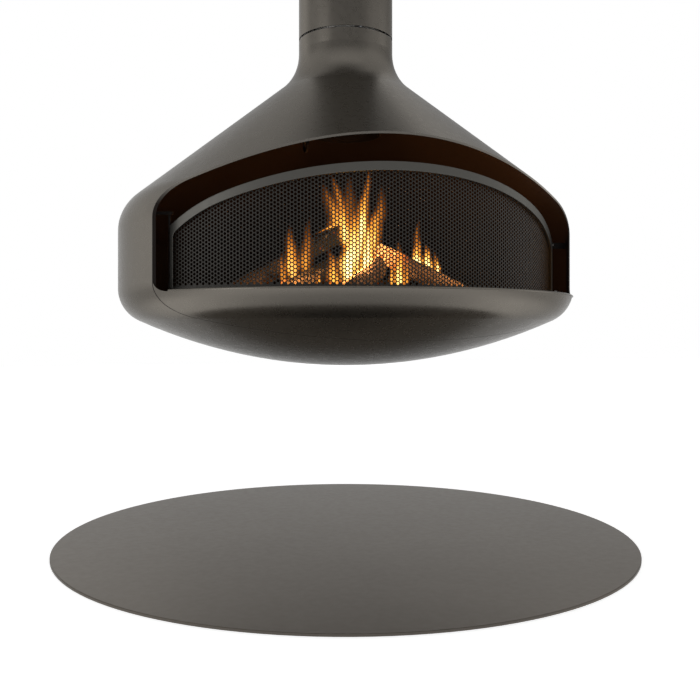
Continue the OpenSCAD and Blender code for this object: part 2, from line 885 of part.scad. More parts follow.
module hinge_pins() {
    washer_gap = 0.2;
    washer_w = 2.5;
    upper_low_z = corner_z - pin_depth / 2 + 2;
    color(bright_steel) {
        at_hinge(rim_z - bracket_t)
            cylinder(d = hinge_pin_d, h = screen_lift + bracket_t + pin_depth, $fn = 48);
        at_hinge(rim_z + washer_gap)
            cylinder(d = hinge_pin_d + 2 * washer_w, h = screen_lift - washer_gap, $fn = 48);
        at_hinge(upper_low_z) cylinder(d = hinge_pin_d, h = upper_bracket_z + bracket_t - upper_low_z, $fn = 48);
    }
}

module screen_knob() {
    neck = [2.5, 6];
    head = [6, 7];
    color(bright_steel) on_screen(stile_mid_a, screen_r + frame_t, screen_bottom_z + knob_lift)
        rotate_extrude() union() {
            square(neck);
            translate([0, neck[1] - 1]) square(head);
        }
}

module catch_striker() {
    head_t = 2;
    color(bright_steel) on_screen(stile_mid_a, screen_r, catch_z) rotate_extrude() union() {
        square([striker_d / 2, frame_t + 1]);
        translate([0, frame_t]) square([striker_d, head_t]);
    }
}

// ---- Damper -------------------------------------------------------------------------------

module damper_spindle() {
    end = throat_out_r + bush_len + 2;
    start = lever_x - lever_t;
    color(bright_steel) difference() {
        translate([start, 0, spindle_z]) rotate([0, 90, 0]) cylinder(d = spindle_d, h = end - start);
        translate([1 - throat_r, -spindle_d - spindle_flat, spindle_z - spindle_d])
            cube([2 * throat_r - 2, spindle_d, 2 * spindle_d]);
        blade_screw_row(blade_screw_d / 2 + snug);
    }
}

module blade_screw_row(r) {
    for (s = [-1, 1]) translate([s * blade_screw_x, 2 * spindle_d, spindle_z]) rotate([90, 0, 0])
        cylinder(r = r, h = 4 * spindle_d, $fn = 32);
}

module damper_blade() {
    color(dark_steel) difference() {
        translate([0, -spindle_flat, spindle_z]) rotate([90, 0, 0])
            cylinder(r = throat_r - blade_gap, h = blade_t);
        blade_screw_row(blade_screw_d / 2 + snug);
    }
}

module damper_screws() {
    head_h = 3;
    front = -spindle_flat - blade_t;
    end = spindle_d / 2 + 1;
    color(zinc) for (s = [-1, 1]) translate([s * blade_screw_x, 0, spindle_z]) {
        translate([0, front, 0]) rotate([90, 0, 0]) cylinder(d = 1.8 * blade_screw_d, h = head_h, $fn = 32);
        translate([0, end, 0]) rotate([90, 0, 0]) cylinder(d = blade_screw_d, h = end - front + 1, $fn = 32);
    }
}

module damper_lever() {
    boss_r = spindle_d / 2 + lever_w / 2;
    eye_w = lever_w / 2;
    color(dark_steel) translate([lever_x - lever_t, 0, spindle_z]) rotate([0, 90, 0]) difference() {
        union() {
            cylinder(r = boss_r, h = lever_t);
            translate([0, -lever_w / 2, 0]) cube([lever_len - lever_eye_r + eye_w / 2, lever_w, lever_t]);
            translate([lever_len, 0, 0]) cylinder(r = lever_eye_r, h = lever_t);
        }
        translate([0, 0, -1]) cylinder(d = spindle_d + 2 * snug, h = lever_t + 2);
        translate([lever_len, 0, -1]) cylinder(r = lever_eye_r - eye_w, h = lever_t + 2);
    }
}

floor_plate();
ceiling_plate();
suspension_rods();
rod_nuts();
flue_liner();
flue_seal();
tube_spacers();
fixed_race();
cover_tube();
ceiling_rosette();
rosette_screws();
bearing_balls();
ball_cage();
rotating_collar();
neck_flange();
collar_bolts();
hood_shell();
bowl_shell();
rim_bead();
seam_strip();
seam_nuts();
throat_tube();
damper_bushes();
fire_back();
fire_back_studs();
hearth_tiles();
ash_pan();
fire_grate();
upper_hinge_bracket();
lower_hinge_bracket();
screen_catch();
fire_log_middle();
fire_log_left();
fire_log_right();
fire_log_front_left();
fire_log_front_right();
screen_frame();
screen_sheet();
hinge_pins();
screen_knob();
catch_striker();
damper_spindle();
damper_blade();
damper_screws();
damper_lever();
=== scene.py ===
"""A hanging fireplace: finish of every surface, spark screen with a fine sheet, burning logs, flames,
embers and ash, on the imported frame. Metres, +Z up, opening towards -Y."""
import json
import math
import random

import bpy
import bmesh
import numpy as np
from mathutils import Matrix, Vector, noise


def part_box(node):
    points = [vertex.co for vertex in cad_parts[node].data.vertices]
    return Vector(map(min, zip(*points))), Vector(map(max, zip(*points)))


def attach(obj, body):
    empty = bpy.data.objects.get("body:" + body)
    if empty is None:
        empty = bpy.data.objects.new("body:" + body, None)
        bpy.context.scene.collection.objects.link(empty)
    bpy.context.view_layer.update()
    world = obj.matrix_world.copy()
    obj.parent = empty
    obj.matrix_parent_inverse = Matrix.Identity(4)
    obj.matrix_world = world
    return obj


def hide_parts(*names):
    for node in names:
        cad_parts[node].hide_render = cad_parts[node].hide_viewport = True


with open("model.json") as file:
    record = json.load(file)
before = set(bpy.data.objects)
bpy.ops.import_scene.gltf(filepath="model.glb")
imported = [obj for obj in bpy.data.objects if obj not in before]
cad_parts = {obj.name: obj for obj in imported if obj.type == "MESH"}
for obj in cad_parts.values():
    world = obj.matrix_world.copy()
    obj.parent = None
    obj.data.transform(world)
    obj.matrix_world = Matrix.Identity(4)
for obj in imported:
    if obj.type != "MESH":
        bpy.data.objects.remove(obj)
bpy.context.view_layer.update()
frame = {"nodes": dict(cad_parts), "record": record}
NODES = frame["nodes"]

FIREPLACE = "fireplace"
SCREEN = "spark_screen"


def level_direction(azimuth):
    """Level unit vector at an azimuth, from -Y at 0 towards +X."""
    return (math.sin(azimuth), -math.cos(azimuth), 0)


# ---- Camera: level, from the left of the opening ------------------------------------------

PHOTO_PX = 700
FOCAL_PX = 846
HORIZON_ROW = 332
AXIS_COLUMN = 345.6
CAMERA_DISTANCE = 2.270
CAMERA_HEIGHT = 0.548
CAMERA_AZIMUTH = math.radians(-19.5)
CAMERA_SIDE = level_direction(CAMERA_AZIMUTH)
SENSOR = 36.0
NEAR_CLIP = 0.05


def make_camera():
    data = bpy.data.cameras.new("camera")
    data.sensor_width = SENSOR
    data.lens = SENSOR * FOCAL_PX / PHOTO_PX
    data.shift_x = (PHOTO_PX / 2 - AXIS_COLUMN) / PHOTO_PX
    data.shift_y = (HORIZON_ROW - PHOTO_PX / 2) / PHOTO_PX
    data.clip_start = NEAR_CLIP
    cam = bpy.data.objects.new("camera", data)
    back = Vector(CAMERA_SIDE)
    cam.location = back * CAMERA_DISTANCE + Vector((0, 0, CAMERA_HEIGHT))
    cam.rotation_mode = "QUATERNION"
    cam.rotation_quaternion = (-back).to_track_quat("-Z", "Y")
    bpy.context.scene.collection.objects.link(cam)
    bpy.context.scene.camera = cam


# ---- Node helpers -------------------------------------------------------------------------


class Nodes:
    """A node tree and short ways to add and join its nodes."""

    def __init__(self, tree):
        self.tree = tree

    def add(self, kind, **values):
        node = self.tree.nodes.new(kind)
        for key, value in values.items():
            if key in node.inputs:
                node.inputs[key].default_value = value
            else:
                setattr(node, key, value)
        return node

    def join(self, source, target):
        self.tree.links.new(source, target)

    def coords(self, output="Object"):
        return self.add("ShaderNodeTexCoord").outputs[output]

    def xyz(self, vector=None):
        """X, Y and Z of a vector, or of the place on the object."""
        node = self.add("ShaderNodeSeparateXYZ")
        self.join(vector or self.coords(), node.inputs[0])
        return node.outputs[0], node.outputs[1], node.outputs[2]

    def along(self, vector, direction):
        """Length of a vector along a fixed direction."""
        node = self.add("ShaderNodeVectorMath", operation="DOT_PRODUCT")
        self.join(vector, node.inputs[0])
        node.inputs[1].default_value = direction
        return node.outputs["Value"]

    def stretched(self, scale):
        """The place on the object, scaled along each axis."""
        node = self.add("ShaderNodeMapping")
        node.inputs["Scale"].default_value = scale
        self.join(self.coords(), node.inputs["Vector"])
        return node.outputs["Vector"]

    def noise(self, scale, detail=4.0, roughness=0.5, vector=None):
        node = self.add("ShaderNodeTexNoise", Scale=scale, Detail=detail, Roughness=roughness)
        self.join(vector or self.coords(), node.inputs["Vector"])
        return node.outputs["Fac"]

    def math(self, op, a, b=None):
        node = self.add("ShaderNodeMath", operation=op)
        for i, value in enumerate((a, b)):
            if value is None:
                continue
            if isinstance(value, (int, float)):
                node.inputs[i].default_value = value
            else:
                self.join(value, node.inputs[i])
        return node.outputs[0]

    def times(self, a, b):
        return self.math("MULTIPLY", a, b)

    def rest(self, value):
        """What is left of 1."""
        return self.math("SUBTRACT", 1.0, value)

    def spread(self, value, low, high, to_low=0.0, to_high=1.0, curve="LINEAR"):
        node = self.add("ShaderNodeMapRange", clamp=True, interpolation_type=curve)
        self.join(value, node.inputs["Value"])
        for key, number in zip(("From Min", "From Max", "To Min", "To Max"), (low, high, to_low, to_high)):
            node.inputs[key].default_value = number
        return node.outputs[0]

    def ramp(self, value, stops):
        node = self.add("ShaderNodeValToRGB")
        elements = node.color_ramp.elements
        while len(elements) < len(stops):
            elements.new(0.5)
        for element, (place, colour) in zip(elements, stops):
            element.position = place
            element.color = (*colour, 1)
        self.join(value, node.inputs["Fac"])
        return node.outputs["Color"]

    def mix(self, fac, a, b):
        node = self.add("ShaderNodeMix", data_type="RGBA")
        for value, target in ((fac, node.inputs["Factor"]), (a, node.inputs[6]), (b, node.inputs[7])):
            if isinstance(value, (tuple, list)):
                target.default_value = (*value, 1)
            elif isinstance(value, (int, float)):
                target.default_value = value
            else:
                self.join(value, target)
        return node.outputs[2]


class Material(Nodes):
    """A new material, and short ways to set its shader."""

    def __init__(self, name):
        self.mat = bpy.data.materials.new(name)
        self.mat.use_nodes = True
        super().__init__(self.mat.node_tree)
        self.shader = self.tree.nodes["Principled BSDF"]

    def bump(self, height, strength, distance):
        node = self.add("ShaderNodeBump", Strength=strength, Distance=distance)
        self.join(height, node.inputs["Height"])
        self.join(node.outputs["Normal"], self.shader.inputs["Normal"])

    def set(self, **values):
        """Sets sockets of the shader to numbers and colours."""
        for key, value in values.items():
            target = self.shader.inputs[key.replace("_", " ")]
            target.default_value = (*value, 1) if isinstance(value, tuple) else value

    def drive(self, **sources):
        """Joins sockets of other nodes to the shader."""
        for key, source in sources.items():
            self.join(source, self.shader.inputs[key.replace("_", " ")])


def shade(value, amount):
    return tuple(c * amount for c in value)


def attribute(m, name):
    return m.add("ShaderNodeAttribute", attribute_name=name).outputs["Fac"]


# ---- Materials ----------------------------------------------------------------------------

STEEL = (0.172, 0.157, 0.136)
EDGE_HIGHLIGHT = (0.19, 0.175, 0.155)
PLATE = (0.185, 0.166, 0.144)
SCREEN_STEEL = (0.101, 0.098, 0.089)
SHEET_STEEL = (0.042, 0.039, 0.035)
DARK_STEEL = (0.008, 0.006, 0.005)
ZINC = (0.62, 0.63, 0.65)
STAINLESS = (0.60, 0.59, 0.57)
BRASS = (0.72, 0.52, 0.22)
IRON_DARK, IRON_LIGHT = (0.004, 0.003, 0.0025), (0.014, 0.011, 0.009)
BRICK_DARK, BRICK_LIGHT = (0.16, 0.12, 0.09), (0.26, 0.21, 0.16)
BRICK_SOOT = (0.016, 0.013, 0.011)
ROPE_DARK, ROPE_LIGHT = (0.02, 0.02, 0.02), (0.10, 0.10, 0.10)

# Soot inside the shells: the one for the hood's cone, and a darker one for its side and the bowl, whose extra
# darkness is painted shade
SOOT = (0.016, 0.0100, 0.0070)
SHADED_SOOT = (0.006, 0.0034, 0.0020)
SOOT_ROUGH = 0.9
SOOT_CHANGE = 0.06
EDGE_CHANGE = 0.03
CUT_EDGE_REACH = (0.0005, 0.0012)
FACING_FIRE = (0.02, 0.06)

# What the shells' masks follow: the middle of the bowl, the top of the hood's side, the opening's cut
BOWL_CENTRE_Z = 0.74
SIDE_TOP_Z = 0.86
OPENING_CUT_Y = 0.5149
OPENING_CUT_R = 0.930

# Paint: how bright its mirroring is at a grazing angle, its clouds and its spray grain
GRAZING = 0.52
CLOUD_SCALE = 3.5
CLOUD_TONE = 0.03
GRAIN_SCALE = 700
GRAIN_BUMP = (0.05, 0.0004)


def satin_paint(name, colour, rough, metallic=0.0, soot=False):
    """Sprayed heat-proof paint: faint clouding, fine spray grain, soot on the inside of a shell. With soot,
    the opening's cut edge gets a painted highlight above the hood's side and painted shade below it.
    """
    m = Material(name)
    tone = m.ramp(m.noise(CLOUD_SCALE, 5, 0.55),
        [(0.3, shade(colour, 1 - CLOUD_TONE)), (0.7, shade(colour, 1 + CLOUD_TONE))])
    roughness = m.spread(m.noise(60, 3), 0.3, 0.7, rough - 0.02, rough + 0.03)
    m.set(Metallic=metallic, Specular_Tint=(GRAZING, GRAZING, GRAZING))
    if soot:
        # The cut edge: a lighter painted highlight above the hood's side, and painted shade in the soot tone
        # below it
        cut = cut_edge_mask(m)
        highlit_edge = m.times(cut, above_side_mask(m, EDGE_CHANGE))
        soot_and_shade = m.times(m.math("MAXIMUM", inside_mask(m), cut), m.rest(highlit_edge))
        tone = m.mix(highlit_edge, tone, EDGE_HIGHLIGHT)
        # Soot on the inside and on the cut edge. Its darker tone below the hood's side is painted shade.
        tone = m.mix(soot_and_shade, tone, m.mix(above_side_mask(m, SOOT_CHANGE), SHADED_SOOT, SOOT))
        roughness = m.math("MAXIMUM", roughness, m.times(soot_and_shade, SOOT_ROUGH))
        m.drive(Metallic=m.spread(soot_and_shade, 0.0, 1.0, metallic, 0.0))
    m.drive(Base_Color=tone, Roughness=roughness)
    m.bump(m.noise(GRAIN_SCALE, 2), *GRAIN_BUMP)
    return m.mat


def cut_edge_mask(m):
    """1 on the cut edge of the opening, which lies on an upright cylinder. This edge carries a painted
    highlight and painted shade.
    """
    x, y, _ = m.xyz()
    y = m.math("SUBTRACT", y, OPENING_CUT_Y)
    radius = m.math("SQRT", m.math("ADD", m.times(x, x), m.times(y, y)))
    off = m.math("ABSOLUTE", m.math("SUBTRACT", radius, OPENING_CUT_R))
    return m.rest(m.spread(off, *CUT_EDGE_REACH))


def above_side_mask(m, change):
    """1 above the hood's side. Up there the opening's cut edge gets a painted highlight, and the soot is
    lighter and browner; below it, the cut edge and the darker soot are painted shade.
    """
    return m.spread(m.xyz()[2], SIDE_TOP_Z - change, SIDE_TOP_Z + change)


def inside_mask(m):
    """1 where a shell's surface faces the fire: towards the axis, or up in the bowl."""
    across, ahead, upward = m.xyz(m.coords("Normal"))
    x, y, z = m.xyz()
    outward = m.math("ADD", m.times(across, x), m.times(ahead, y))
    rise = m.math("SUBTRACT", BOWL_CENTRE_Z, z)
    return m.spread(m.math("SUBTRACT", m.times(upward, rise), outward), *FACING_FIRE)


def metal(name, colour, rough, grain=(40, 40, 40)):
    """Bare metal with a drawn or turned grain."""
    m = Material(name)
    lines = m.noise(6, 5, 0.6, m.stretched(grain))
    m.drive(Base_Color=m.ramp(lines, [(0.3, shade(colour, 0.85)), (0.7, colour)]),
        Roughness=m.spread(lines, 0.3, 0.7, rough - 0.06, rough + 0.08))
    m.bump(lines, 0.03, 0.0005)
    m.set(Metallic=1.0)
    return m.mat


def cast_iron(name):
    """Sand-cast skin, sooted, with the lumps that casting leaves."""
    m = Material(name)
    skin = m.noise(140, 6, 0.65)
    m.drive(Base_Color=m.ramp(skin, [(0.3, IRON_DARK), (0.75, IRON_LIGHT)]),
        Roughness=m.spread(skin, 0.2, 0.8, 0.7, 0.95))
    m.bump(skin, 0.5, 0.0012)
    m.set(Specular_IOR_Level=0.15)
    return m.mat


def firebrick(name):
    """Pale vermiculite slab, pitted and sooted in patches."""
    m = Material(name)
    pits = m.add("ShaderNodeTexVoronoi", Scale=220.0)
    m.join(m.coords(), pits.inputs["Vector"])
    soot = m.spread(m.noise(9, 6, 0.6), 0.35, 0.6)
    clean = m.ramp(m.noise(70, 5), [(0.3, BRICK_DARK), (0.7, BRICK_LIGHT)])
    m.drive(Base_Color=m.mix(soot, clean, BRICK_SOOT))
    m.bump(pits.outputs["Distance"], 0.35, 0.001)
    m.set(Roughness=0.92)
    return m.mat


def rope(name):
    """Graphited glass rope: a slanting lay of strands."""
    m = Material(name)
    wave = m.add("ShaderNodeTexWave", Scale=180.0, Distortion=1.5, bands_direction="DIAGONAL")
    m.join(m.coords(), wave.inputs["Vector"])
    m.drive(Base_Color=m.ramp(wave.outputs["Fac"], [(0.2, ROPE_DARK), (0.8, ROPE_LIGHT)]))
    m.bump(wave.outputs["Fac"], 0.5, 0.0006)
    m.set(Roughness=0.95)
    return m.mat


def dress_nodes():
    """Gives every CAD node its finish."""
    shells = satin_paint("satin_paint_sooted", STEEL, 0.28, 0.9, soot=True)
    finishes = {
        "satin_paint": satin_paint("satin_paint", STEEL, 0.28, 0.9),
        "plate_paint": satin_paint("plate_paint", PLATE, 0.30, 0.9),
        "screen_paint": satin_paint("screen_paint", SCREEN_STEEL, 0.42, 0.8),
        "sheet_paint": satin_paint("sheet_paint", SHEET_STEEL, 0.5, 0.5),
        "dark_steel": satin_paint("dark_steel", DARK_STEEL, 0.85),
        "zinc_plate": metal("zinc_plate", ZINC, 0.35),
        "stainless": metal("stainless", STAINLESS, 0.28, grain=(4, 4, 90)),
        "brass": metal("brass", BRASS, 0.3),
        "rope_seal": rope("rope_seal"),
        "cast_iron": cast_iron("cast_iron"),
        "firebrick": firebrick("firebrick"),
    }
    own_finish = {"hood_shell": shells, "bowl_shell": shells, "hinge_pins": finishes["dark_steel"]}
    for part in frame["record"]["subparts"]:
        finish = own_finish.get(part["node"], finishes.get(part["material_slot"]))
        if finish:
            for place in NODES[part["node"]].material_slots:
                place.material = finish
    return finishes


# ---- Shared mesh helpers ------------------------------------------------------------------


def new_object(name, verts, faces, material, smooth=True):
    mesh = bpy.data.meshes.new(name)
    mesh.from_pydata([tuple(v) for v in verts], [], faces)
    mesh.validate()
    mesh.update()
    if smooth:
        mesh.shade_smooth()
    mesh.materials.append(material)
    obj = bpy.data.objects.new(name, mesh)
    bpy.context.scene.collection.objects.link(obj)
    return obj


def add_attribute(obj, name, values):
    layer = obj.data.attributes.new(name, "FLOAT", "POINT")
    layer.data.foreach_set("value", values)


# ---- Spark screen: frame with shoulders, and a sheet with round holes in rows, as punched ----

# Radius to which the screen is rolled, and its width on the flat
SCREEN_R = 0.673
SCREEN_W = 1.1201

# Upper edge: a wide arch, lower than the CAD's, that turns into tighter shoulders
ARCH_R = 1.365
ARCH_DROP = 0.0035
SHOULDER_R = 0.480
SHOULDER_START = 0.4302

FRAME_T = 0.010
RAIL_W = 0.020
STILE_W = 0.010
HEM_W = 0.003
HOLE_CORNER = 0.009
FRAME_BEVEL = 0.0015
FRAME_STEPS = 96
STILE_STEPS = 10

SHEET_T = 0.0015
SHEET_INSET = 0.002
HOLE_PITCH = 0.0087
HOLE_RADIUS = 0.0034
HOLE_SIDES = 12
EDGE_LAND = 0.0012
STEPS_PER_METRE = 1e6


def screen_top(u, top_z, inset):
    """Height of the screen's upper edge at width u on the flat sheet: an arch between two shoulders."""
    turn = math.asin(SHOULDER_START / ARCH_R)
    base = top_z - ARCH_DROP - ARCH_R
    u = min(abs(u), SCREEN_W / 2)
    arch = ARCH_R - inset
    if u < arch * math.sin(turn):
        return base + math.sqrt(arch ** 2 - u ** 2)
    centre_u, centre_z = ((ARCH_R - SHOULDER_R) * f(turn) for f in (math.sin, math.cos))
    return base + centre_z + math.sqrt((SHOULDER_R - inset) ** 2 - (u - centre_u) ** 2)


def rolled(u, z, r, axis_y):
    """A point of the flat sheet, rolled to radius r. The ends lie in upright planes."""
    x = SCREEN_R * math.sin(u / SCREEN_R)
    return (x, axis_y - math.sqrt(r * r - x * x), z)


def screen_place():
    """The bottom and top of the CAD frame, and the y of the axis round which it is rolled."""
    low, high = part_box("screen_frame")
    return low.z, high.z, low.y + SCREEN_R + FRAME_T


def make_frame(material):
    """The screen's frame: top rail, stiles and hem in one ring with softened edges."""
    low_z, high_z, axis_y = screen_place()

    def ring(half, base_z, inset, corner):
        def top(u):
            past = max(0.0, abs(u) - half + corner)
            drop = corner - math.sqrt(max(0.0, corner * corner - past * past))
            return screen_top(u, high_z, inset) - drop

        flat = [(half * (2 * i / FRAME_STEPS - 1), base_z) for i in range(FRAME_STEPS)]
        end_z = top(half)
        flat += [(half, base_z + (end_z - base_z) * i / STILE_STEPS) for i in range(STILE_STEPS)]
        for i in range(FRAME_STEPS):
            u = half * math.cos(math.pi * i / FRAME_STEPS)
            flat.append((u, top(u)))
        flat += [(-half, end_z - (end_z - base_z) * i / STILE_STEPS) for i in range(STILE_STEPS)]
        return flat

    half, hole = SCREEN_W / 2, SCREEN_W / 2 - STILE_W
    b, front, back = FRAME_BEVEL, SCREEN_R + FRAME_T, SCREEN_R
    soft = b * (1 - math.sqrt(0.5))
    section = ((0, back), (0, front - b), (soft, front - soft), (b, front))
    rings = [(ring(half - inward, low_z + inward, inward, b), r) for inward, r in section]
    for inward, r in reversed(section):
        rings.append((ring(hole + inward, low_z + HEM_W - inward, RAIL_W - inward, HOLE_CORNER), r))
    verts = [rolled(u, z, r, axis_y) for flat, r in rings for u, z in flat]
    count = len(rings[0][0])
    faces = []
    for i in range(len(rings)):
        a, c = i * count, (i + 1) % len(rings) * count
        for k in range(count):
            n = (k + 1) % count
            faces.append([a + k, a + n, c + n, c + k])
    obj = new_object("screen_frame_ring", verts, faces, material, smooth=False)
    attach(obj, SCREEN)
    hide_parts("screen_frame")


def make_sheet(material):
    """The screen's sheet: a cell of 12 faces round each hole that fits, and plain cells at the edges."""
    low_z, high_z, axis_y = screen_place()
    base_z = low_z + SHEET_INSET
    half = SCREEN_W / 2 - SHEET_INSET
    flat, index, faces = [], {}, []

    def sheet_top(u):
        return screen_top(u, high_z, SHEET_INSET)

    def vertex(u, z):
        u = max(-half, min(half, u))
        z = max(base_z, min(sheet_top(u), z))
        key = (round(u * STEPS_PER_METRE), round(z * STEPS_PER_METRE))
        if key not in index:
            index[key] = len(flat)
            flat.append((u, z))
        return index[key]

    def add_face(ring):
        ring = [v for i, v in enumerate(ring) if v != ring[i - 1]]
        if len(set(ring)) > 2:
            faces.append(ring)

    column = HOLE_PITCH * math.sqrt(3) / 2
    cell = HOLE_PITCH / math.sqrt(3)
    reach = HOLE_RADIUS + EDGE_LAND
    turns = [2 * math.pi * k / HOLE_SIDES for k in range(HOLE_SIDES)]
    columns = math.ceil(half / column)
    rows = math.ceil((high_z - base_z) / HOLE_PITCH) + 1
    for i in range(-columns, columns + 1):
        for j in range(rows):
            u, z = i * column, base_z + (j + (i % 2) / 2) * HOLE_PITCH
            if z - cell > sheet_top(u) + cell:
                continue
            outer = []
            for k, a in enumerate(turns):
                r = cell if k % 2 == 0 else HOLE_PITCH / 2
                outer.append(vertex(u + r * math.cos(a), z + r * math.sin(a)))
            clear = abs(u) + reach < half and base_z + reach < z
            clear = clear and z + reach < min(sheet_top(u - reach), sheet_top(u + reach))
            if not clear:
                add_face(outer)
                continue
            inner = [vertex(u + HOLE_RADIUS * math.cos(a), z + HOLE_RADIUS * math.sin(a)) for a in turns]
            for k in range(HOLE_SIDES):
                n = (k + 1) % HOLE_SIDES
                add_face([outer[k], outer[n], inner[n], inner[k]])

    # The same faces again on the back, and walls along every edge that has a face on one side only
    used = {}
    for face in faces:
        for a, b in zip(face, face[1:] + face[:1]):
            used[(a, b)] = True
    count = len(flat)
    solid = faces + [[v + count for v in reversed(face)] for face in faces]
    solid += [[b, a, a + count, b + count] for a, b in used if (b, a) not in used]
    verts = [rolled(u, z, r, axis_y) for r in (SCREEN_R, SCREEN_R - SHEET_T) for u, z in flat]
    sheet = new_object("perforated_sheet", verts, solid, material, smooth=False)
    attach(sheet, SCREEN)
    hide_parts("screen_sheet")


# ---- Fire: logs ----------------------------------------------------------------------------

FIRE_CENTRE = Vector((0.02, 0.0, 0.72))
BURN_REACH = 0.26
LOG_RINGS = 120
LOG_SIDES = 64
END_RINGS = 7
END_SLICE = 0.002

# A log's surface, in shares of its radius: mean, lumps, furrows, plates of bark, grain of a split, bow
LOG_BODY = 0.89
LUMP_DEPTH = 0.04
BARK_DEPTH = 0.10
PLATE_DEPTH = 0.02
GRAIN_DEPTH = 0.02
BOW = 0.02
SAWN_DEPTH = 0.0025

BARK_DARK = (0.10, 0.066, 0.045)
BARK = (0.24, 0.17, 0.125)
BARK_PALE = (0.34, 0.26, 0.20)
WOOD_DARK = (0.30, 0.19, 0.11)
WOOD = (0.48, 0.34, 0.21)
WOOD_PALE = (0.58, 0.45, 0.31)
CHAR_DARK, CHAR_LIGHT = (0.006, 0.005, 0.004), (0.03, 0.026, 0.022)
ASH_ON_CHAR = (0.30, 0.28, 0.26)
LOG_HEAT = [(0.0, (0.9, 0.08, 0.008)), (0.4, (1.0, 0.24, 0.03)), (1.0, (1.0, 0.55, 0.16))]
LOG_GLOW = 3.0


def log_axis(node):
    """Foot and tip of a round log, each as its centre and radius, from its solid."""
    verts = np.array([v.co[:] for v in NODES[node].data.vertices])
    middle = verts.mean(0)
    along = (verts - middle) @ np.linalg.svd(verts - middle)[2][0]
    ends = []
    for side in (along.min(), along.max()):
        ring = verts[abs(along - side) < END_SLICE]
        centre = (ring.min(0) + ring.max(0)) / 2
        ends.append((Vector(centre), float(np.linalg.norm(ring - centre, axis=1).max())))
    return sorted(ends, key=lambda end: end[0].z)


def burnt(place):
    """How charred the wood is here: 1 at the heart of the fire, 0 out of its reach."""
    reach = (place - FIRE_CENTRE).length / BURN_REACH
    return max(0.0, min(1.0, 1.25 - reach + 0.25 * noise.noise(place * 14)))


def make_log(name, node, seed, material, split=(), char=1.0, glow=0.0, glow_reach=0.09):
    """A log with furrowed bark and sawn ends, flat and grained on each split side.
    char is how far it has burnt, and glow how hot its upper end is."""
    (start, r_start), (end, r_end) = log_axis(node)
    axis = (end - start).normalized()
    side = axis.cross(Vector((0, 0, 1))).normalized()
    over = side.cross(axis)
    length = (end - start).length
    verts, faces, charred, hot, bare = [], [], [], [], []

    def surface(t, k, shrink):
        a = 2 * math.pi * k / LOG_SIDES
        radius = r_start + (r_end - r_start) * t

        def rough(round_scale, long_scale, shift):
            return noise.noise(Vector((math.cos(a) * round_scale, math.sin(a) * round_scale,
                t * length * long_scale + shift)))

        lumps = rough(2.2, 5, seed * 7.3)
        furrow = 1 - abs(rough(9, 11, seed))
        plates = rough(20, 42, seed)
        r = radius * (LOG_BODY + LUMP_DEPTH * lumps + BARK_DEPTH * (furrow - 0.75) + PLATE_DEPTH * plates)
        flat = 0.0
        for facing, depth in split:
            turn = math.cos(a - facing)
            if turn > 0.05 and r * turn > depth * radius:
                grain = GRAIN_DEPTH * noise.noise(Vector((a * 14, seed, t * length * 6)))
                r = min(r, depth * radius / turn * (1 + grain))
                flat = 1.0
        bow = BOW * radius * math.sin(math.pi * t)
        outward = side * math.cos(a) + over * math.sin(a)
        return start + (end - start) * t + over * bow + outward * r * shrink, flat

    def add_vertex(place, is_bare):
        verts.append(place)
        charred.append(char * burnt(place))
        hot.append(glow * max(0.0, 1 - (place - end).length / glow_reach))
        bare.append(is_bare)

    plan = [(0.0, j / END_RINGS, True) for j in range(1, END_RINGS)]
    plan += [(i / (LOG_RINGS - 1), 1.0, False) for i in range(LOG_RINGS)]
    plan += [(1.0, j / END_RINGS, True) for j in range(END_RINGS - 1, 0, -1)]
    for t, shrink, is_end in plan:
        for k in range(LOG_SIDES):
            place, flat = surface(t, k, shrink)
            if is_end:
                place += axis * SAWN_DEPTH * noise.noise(place * 90)
            add_vertex(place, 1.0 if is_end else flat)
    for i in range(len(plan) - 1):
        here, there = i * LOG_SIDES, (i + 1) * LOG_SIDES
        for k in range(LOG_SIDES):
            n = (k + 1) % LOG_SIDES
            faces.append((here + k, here + n, there + n, there + k))
    for centre, first, turned in ((start, 0, False), (end, (len(plan) - 1) * LOG_SIDES, True)):
        add_vertex(centre, 1.0)
        hub = len(verts) - 1
        for k in range(LOG_SIDES):
            rim = (first + k, first + (k + 1) % LOG_SIDES)
            faces.append((hub, *rim) if turned else (hub, *reversed(rim)))
    log = new_object(name, verts, faces, material)
    add_attribute(log, "char", charred)
    add_attribute(log, "glow", hot)
    add_attribute(log, "bare", bare)
    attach(log, FIREPLACE)
    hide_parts(node)


